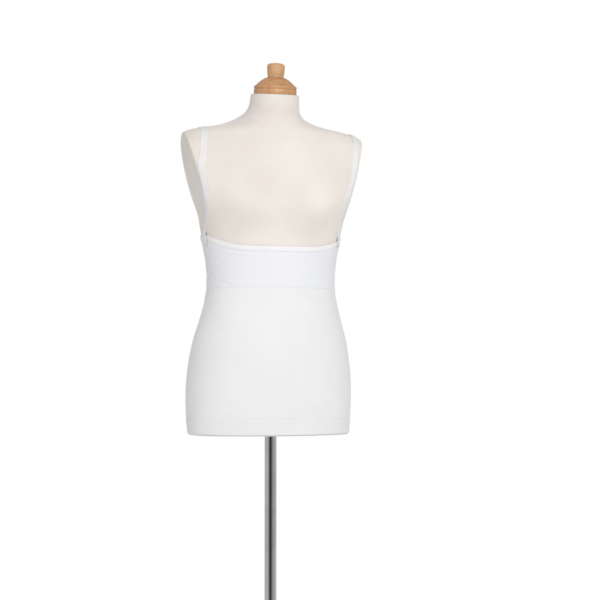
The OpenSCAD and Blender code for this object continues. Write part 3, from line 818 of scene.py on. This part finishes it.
# One thread from end to end: place along it, half width and lift, as shares of length and radius
THREAD_RINGS = [(-0.5, 0.25, -0.5), (-0.32, 0.9, 0.1), (0, 1, 0.35), (0.32, 0.9, 0.1), (0.5, 0.25, -0.5)]
THREAD_SIDES = 6


def stitches(name, places, ahead, up, length, radius):
    """A row of threads lying on a surface: one short capsule with sunk ends at each place."""
    points, faces = [], []
    a = np.linspace(0, 2 * math.pi, THREAD_SIDES, endpoint=False)
    for p, d, n in zip(places, ahead, up):
        s = np.cross(n, d)
        start = len(points)
        for along, wide, lift in THREAD_RINGS:
            middle = p + d * along * length + n * lift * radius
            points += list(middle + radius * wide * (np.cos(a)[:, None] * s + np.sin(a)[:, None] * n))
        faces += grid_faces(len(THREAD_RINGS), THREAD_SIDES, True, start)
        last = start + (len(THREAD_RINGS) - 1) * THREAD_SIDES
        faces.append(tuple(start + i for i in reversed(range(THREAD_SIDES))))
        faces.append(tuple(last + i for i in range(THREAD_SIDES)))
    obj = add_mesh(name, raise_to_form(points), faces)
    return finish_with(obj, THREAD, "form")


def stitch_round(name, height, out, step, length, radius, slant=0.0):
    """Stitches right round the form at a height for each angle, step millimetres apart.

    With a slant they zigzag, each leaning to the other side from the one before.
    """
    fine = np.linspace(0, 360, 3600, endpoint=False)
    z = np.broadcast_to(height(fine) if callable(height) else height, fine.shape)
    run = np.linalg.norm(np.diff(skin(index_at(z), fine), axis=0), axis=1).cumsum()
    count = int(run[-1] / step)
    t = np.interp(np.arange(count) * run[-1] / count, np.concatenate([[0], run]), fine)
    z = np.interp(t, fine, z)
    u = index_at(z)
    up = normals(u, t)
    stand = out + slip_folds(t, z)
    p = on_skin(u, t, stand)
    ahead = unit(on_skin(u, t + 0.2, stand) - on_skin(u, t - 0.2, stand))
    turn = slant * np.where(np.arange(count) % 2, 1, -1)[:, None]
    ahead = unit(ahead + turn * np.cross(up, ahead))
    return stitches(name, p, ahead, up, length, radius)


def bar_tack(name, hand, f):
    """The dense row of stitches across a strap's end."""
    p, up, side = strap_frames(np.array([f - 0.01, f, f + 0.01]), hand)[2:]
    ahead = unit(p[2] - p[0])
    sink = 0.05
    top = p[1] + up[1] * (STRAP_UP + STRAP_T + STRAP_STEP - sink)
    places = [top + side[1] * reach for reach in np.linspace(-0.42, 0.42, 9) * STRAP_W]
    return stitches(name, places, [ahead] * len(places), [up[1]] * len(places), 4.2, 0.35)


# ---- Wooden cap and knob ----

CAP_R, CAP_H, CAP_RIM, KNOB_R, KNOB_H = 45, 35, 18, 18.5, 31
SEAT = 0.1  # the gap that each turned piece leaves over what it stands on


def at_neck(obj):
    """Stands a piece on the neck's tilted top plane."""
    obj.location = (0, NECK_Y * MM, (FORM_Z + NECK_Z) * MM)
    obj.rotation_euler = (NECK_TILT, 0, 0)


def arc(cx, cz, r, start, end, steps):
    """Profile points along an arc about (cx, cz), from start to end in degrees."""
    angles = np.radians(np.linspace(start, end, steps + 1))
    return [(cx + r * math.cos(a), cz + r * math.sin(a)) for a in angles]


def cap_profile():
    """A straight rim, a groove, a rounded bead and a sloping top a little fuller than a cone."""
    rim = CAP_R - 0.2
    groove, groove_r = CAP_RIM - 6, CAP_R - 1.5
    profile = [(0, SEAT), (20, SEAT), (CAP_R - 3, SEAT)]
    profile += arc(rim - 2, SEAT + 2, 2, -90, 0, 6)
    profile += [(rim, 6), (rim, groove - 1.6), (rim - 0.3, groove - 1)]
    profile += [(groove_r, groove - 0.4), (groove_r, groove + 0.1), (rim - 0.3, groove + 0.7)]
    profile += arc(CAP_R - 3, CAP_RIM - 2.6, 3, -35, 80, 10)
    profile += [(CAP_R - 3.2, CAP_RIM + 0.5), (CAP_R - 3.7, CAP_RIM + 0.9)]
    foot, head, fullness = CAP_R - 3.5, KNOB_R + 2.5, 1.3
    for f in np.linspace(0.03, 1, 14):
        height = CAP_RIM + 1 + (CAP_H - CAP_RIM - 1) * f
        profile.append((foot + (head - foot) * f, height + fullness * math.sin(math.pi * f)))
    return profile + [(KNOB_R + 1.5, CAP_H), (8, CAP_H), (0, CAP_H)]


def knob_profile():
    """A barely waisted knob with a rounded shoulder and a nearly flat top."""
    foot = CAP_H + SEAT
    top = foot + KNOB_H
    shoulder, dome = 7, 60
    profile = [(0, foot), (8, foot), (KNOB_R - 2.3, foot), (KNOB_R - 1.5, foot + 0.5)]
    profile += [(KNOB_R - 1.2, foot + 1.4), (KNOB_R - 1.7, foot + 2.4), (KNOB_R - 1.7, foot + 3.6)]
    profile += [(KNOB_R - 1, foot + 7), (KNOB_R - 0.5, foot + 11)]
    profile += [(KNOB_R - 0.1, foot + 16), (KNOB_R, foot + 20)]
    profile += arc(KNOB_R - shoulder, top - shoulder - 1, shoulder, 0, 62, 10)
    profile += arc(0, top - dome, dome, 77, 88, 6)
    return profile + [(0, top)]


def make_cap():
    """The cap and its knob, turned from different pieces of wood."""
    cap = lathe("wooden_cap", cap_profile(), 128)
    knob = lathe("wooden_knob", knob_profile(), 96)
    for obj, node, material in ((cap, "neck_cap", CAP_WOOD), (knob, "finial_knob", KNOB_WOOD)):
        at_neck(obj)
        finish_with(obj, material, "cap")
        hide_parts(node)


# ---- Chromed tubes and base ----

RING_SIDES = 192
CORNER_R, CORNER_STEPS = 0.5, 4
PLATE_LOW, PLATE_HIGH = low("base_plate")[2], high("base_plate")[2]
PLATE_R, PLATE_EDGE_R, BOLT_HOLE = high("base_plate")[0], 4, 6.3
MAST_LOW, MAST_HIGH = low("mast_tube")[2], high("mast_tube")[2]
MAST_R, MAST_WALL = high("mast_tube")[0], 1.5
BELL_R, BELL_SWEEP, BELL_T = 60, 40, 1.5
BELL_NECK = high("lower_tube")[0] + 0.3


def turned_ring(name, profile):
    """A turned piece with a hole through it, about +Z: the profile is a closed loop."""
    angle = np.linspace(0, 2 * math.pi, RING_SIDES, endpoint=False)
    across_x, across_y = np.cos(angle), np.sin(angle)
    rings = np.array([np.stack([r * across_x, r * across_y, z + 0 * angle], -1) for r, z in profile])
    uv = np.stack(np.broadcast_arrays(angle * 0.03, rings[..., 2] * MM), -1)
    return closed_loop_mesh(name, rings, uv)


def rounded(corners):
    """A closed profile whose corners are rounded off, with a point just before and after each."""
    points = []
    corners = [np.array(c, float) for c in corners]
    for before, here, after in zip([corners[-1], *corners[:-1]], corners, [*corners[1:], corners[0]]):
        a, b = unit(before - here), unit(after - here)
        shorter = min(np.linalg.norm(before - here), np.linalg.norm(after - here))
        cut = min(CORNER_R, 0.3 * shorter)
        points.append(here + a * cut * 1.4)
        for f in np.linspace(0, 1, CORNER_STEPS):
            points.append(here + (1 - f) ** 2 * cut * a + f ** 2 * cut * b)
        points.append(here + b * cut * 1.4)
    return points


def mast_profile():
    """The wall of a tube with its rims rounded."""
    bore = MAST_R - MAST_WALL
    return rounded([(MAST_R, MAST_LOW), (MAST_R, MAST_HIGH), (bore, MAST_HIGH), (bore, MAST_LOW)])


def plate_profile():
    """A flat plate with a bolt hole and a well rounded upper edge."""
    profile = [(BOLT_HOLE, PLATE_LOW), (PLATE_R - 2, PLATE_LOW), (PLATE_R, PLATE_LOW + 1.5)]
    profile += arc(PLATE_R - PLATE_EDGE_R, PLATE_HIGH - PLATE_EDGE_R, PLATE_EDGE_R, 0, 90, 12)
    profile += [(PLATE_R - PLATE_EDGE_R - 1, PLATE_HIGH)]
    return profile + [(BOLT_HOLE + 1, PLATE_HIGH), (BOLT_HOLE, PLATE_HIGH)]


def bell_profile():
    """A thin bell that sweeps from the plate up to the lower tube."""
    top, middle = PLATE_HIGH + BELL_SWEEP - 4, PLATE_HIGH + BELL_SWEEP
    profile = [(BELL_R - 2, PLATE_HIGH), (BELL_R, PLATE_HIGH)]
    profile += arc(BELL_R, middle, BELL_SWEEP - BELL_T, 265, 190, 40)
    profile += [(BELL_NECK + 3.7, top), (BELL_NECK, top), (BELL_NECK, top - 2)]
    return profile + arc(BELL_R, middle, BELL_SWEEP, 192, 264, 40)


def make_chrome():
    """The chromed pieces, turned finely enough for clean highlights."""
    for name, node, profile, body in (("chromed_mast", "mast_tube", mast_profile(), "mast"),
                                      ("chromed_base", "base_plate", plate_profile(), "stand"),
                                      ("chromed_bell", "base_cover", bell_profile(), "stand")):
        piece = turned_ring(name, profile)
        finish_with(piece, CHROME, body)
        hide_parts(node)


# ---- Everything in its place ----

CAD_MATERIALS = {
    CHROME: ("lower_tube", "lock_knob"),
    STEEL: ("base_bolt", "base_washer", "tube_plug", "clamp_stud", "lock_stud", "socket_screws"),
    ALUMINIUM: ("clamp_collar", "pole_socket"),
    BRASS: ("lock_tip", "board_screws"),
    RUBBER: ("base_feet",),
    NYLON: ("guide_bush", "mast_glide", "mast_top_plug", "clamp_tip"),
    KNOB: ("clamp_knob",),
    BOARD: ("bottom_board", "neck_block"),
    DOWEL_WOOD: ("cap_dowel", "finial_tenon", "neck_block_pins"),
    GLOSS_WHITE: ("strap_sliders", "strap_rings"),
}

for material, names in CAD_MATERIALS.items():
    for name in names:
        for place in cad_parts[name].material_slots:
            place.material = material

cover = make_cover()
make_shell()
skirt, hem, band, binding = make_slip()
strap_left = make_strap(LEFT, "left_strap", "strap_left")
strap_right = make_strap(RIGHT, "right_strap", "strap_right")
make_cap()
make_chrome()

HEM_THREAD = dict(out=2.4, step=2.6, length=2.0, radius=0.28)
hem_upper = stitch_round("hem_stitches_upper", HEM_ROW_HIGH, **HEM_THREAD)
hem_lower = stitch_round("hem_stitches_lower", HEM_ROW_LOW, **HEM_THREAD)
edge_stitches = stitch_round("binding_stitches", lambda t: top_edge(t) - BINDING_H + 2.4,
                             out=2.55, step=2.0, length=2.3, radius=0.26, slant=0.9)
band_stitches = stitch_round("band_stitches", BAND_Z + 7, out=2.0, step=2.2, length=1.7, radius=0.25)
tacks = [bar_tack(f"{side}_{end}_tack", hand, f)
         for side, hand in (("left", LEFT), ("right", RIGHT))
         for end, f in (("front", -0.975), ("back", 0.975))]


# ---- Floor and light ----

def around(azimuth, distance, height):
    """A place round the object: azimuth 0 is in front, at -Y, and 90 is at +X."""
    a = math.radians(azimuth)
    return (distance * math.sin(a), -distance * math.cos(a), height)


FLOOR_RINGS_M = (0.3, 0.8, 1.4, 2.0, 2.4)
FLOOR_SIDES = 128
FADE_START_M, FADE_END_M = 0.9, 2.2  # where the floor starts to turn white, and where it is white
FLOOR_DROP_M = 0.0005


def floor_material():
    """Pale and dull under the object, and as white as the surround further out."""
    m = Nodes("pale floor", Roughness=0.75, Base_Color=(0.86, 0.86, 0.86, 1), Specular_IOR_Level=0.2)
    away = m.add("ShaderNodeVectorMath", {0: m.coords()}, operation="LENGTH").outputs["Value"]
    fade = m.add("ShaderNodeMapRange", {"Value": away, "From Min": FADE_START_M, "From Max": FADE_END_M})
    glow = m.add("ShaderNodeEmission", {"Color": (1, 1, 1, 1), "Strength": 1.0})
    faded = m.add("ShaderNodeMixShader", {0: fade.outputs["Result"], 1: m.shader.outputs[0],
                                          2: glow.outputs[0]})
    m.surface(faded.outputs[0])
    return m.material


def make_floor():
    """A pale disc that fades into the white surround towards its edge."""
    places = [around(90 + side * 360 / FLOOR_SIDES, radius, 0)
              for radius in FLOOR_RINGS_M for side in range(FLOOR_SIDES)]
    points = np.array([(0, 0, 0), *places]) / MM
    faces = grid_faces(len(FLOOR_RINGS_M), FLOOR_SIDES, True, 1, flip=True)
    faces += [(0, 1 + i, 1 + (i + 1) % FLOOR_SIDES) for i in range(FLOOR_SIDES)]
    floor = add_mesh("floor", points, faces)
    floor.data.materials.append(floor_material())
    floor.location.z = -FLOOR_DROP_M


def area_light(name, place, aim_z, size, power_w):
    """A rectangular light that points at the object's axis, in metres and watts."""
    data = bpy.data.lights.new(name, "AREA")
    data.shape = "RECTANGLE"
    data.size, data.size_y = size
    data.energy = power_w
    light = bpy.data.objects.new(name, data)
    light.location = place
    light.rotation_euler = (Vector((0, 0, aim_z)) - Vector(place)).to_track_quat("-Z", "Y").to_euler()
    bpy.context.collection.objects.link(light)


def make_world():
    """White for the camera, softer as a light."""
    world = bpy.data.worlds.new("studio")
    world.use_nodes = True
    bpy.context.scene.world = world
    tree = world.node_tree
    background = tree.nodes["Background"]
    seen = tree.nodes.new("ShaderNodeBackground")
    seen.inputs["Color"].default_value = (1, 1, 1, 1)
    background.inputs["Color"].default_value = (1, 0.99, 0.985, 1)
    background.inputs["Strength"].default_value = 0.55
    path = tree.nodes.new("ShaderNodeLightPath")
    mix = tree.nodes.new("ShaderNodeMixShader")
    tree.links.new(path.outputs["Is Camera Ray"], mix.inputs[0])
    tree.links.new(background.outputs[0], mix.inputs[1])
    tree.links.new(seen.outputs[0], mix.inputs[2])
    tree.links.new(mix.outputs[0], tree.nodes["World Output"].inputs["Surface"])


CARD_LOW_M, CARD_HIGH_M, CARD_OUT_M, CARD_STEPS = 0.02, 0.95, 1.3, 8


def card(azimuth, width_deg, shade):
    """A curved studio card round part of the stand that only glossy surfaces see."""
    angles = azimuth + np.linspace(-0.5, 0.5, CARD_STEPS + 1) * width_deg
    places = [around(a, CARD_OUT_M, z) for z in (CARD_LOW_M, CARD_HIGH_M) for a in angles]
    obj = add_mesh(f"card_{azimuth}", np.array(places) / MM, grid_faces(2, len(angles), False))
    m = Nodes(f"card_{azimuth} surface")
    glow = m.add("ShaderNodeEmission", {"Color": (shade, shade, shade, 1), "Strength": 1.0})
    m.surface(glow.outputs[0])
    obj.data.materials.append(m.material)
    obj.visible_camera = False
    obj.visible_diffuse = False
    obj.visible_shadow = False
    obj.visible_transmission = False


def make_cards():
    """Dark and light cards round the stand give the chrome tubes their long stripes."""
    for azimuth, width_deg, shade in ((-22, 26, 0.01), (4, 26, 0.11), (30, 26, 0.30), (-48, 26, 0.28),
                                      (70, 54, 0.42), (-95, 68, 0.50), (130, 60, 0.65)):
        card(azimuth, width_deg, shade)


make_floor()
make_world()
area_light("key", around(4, 2.7, 2.05), 1.25, (1.5, 1.4), 40)
area_light("fill", around(-80, 3.0, 1.5), 1.2, (1.5, 1.5), 6)
area_light("back", around(172, 3.0, 1.7), 1.15, (1.6, 1.6), 24)
make_cards()
bpy.context.scene.view_settings.view_transform = "Standard"
bpy.context.scene.view_settings.look = "None"
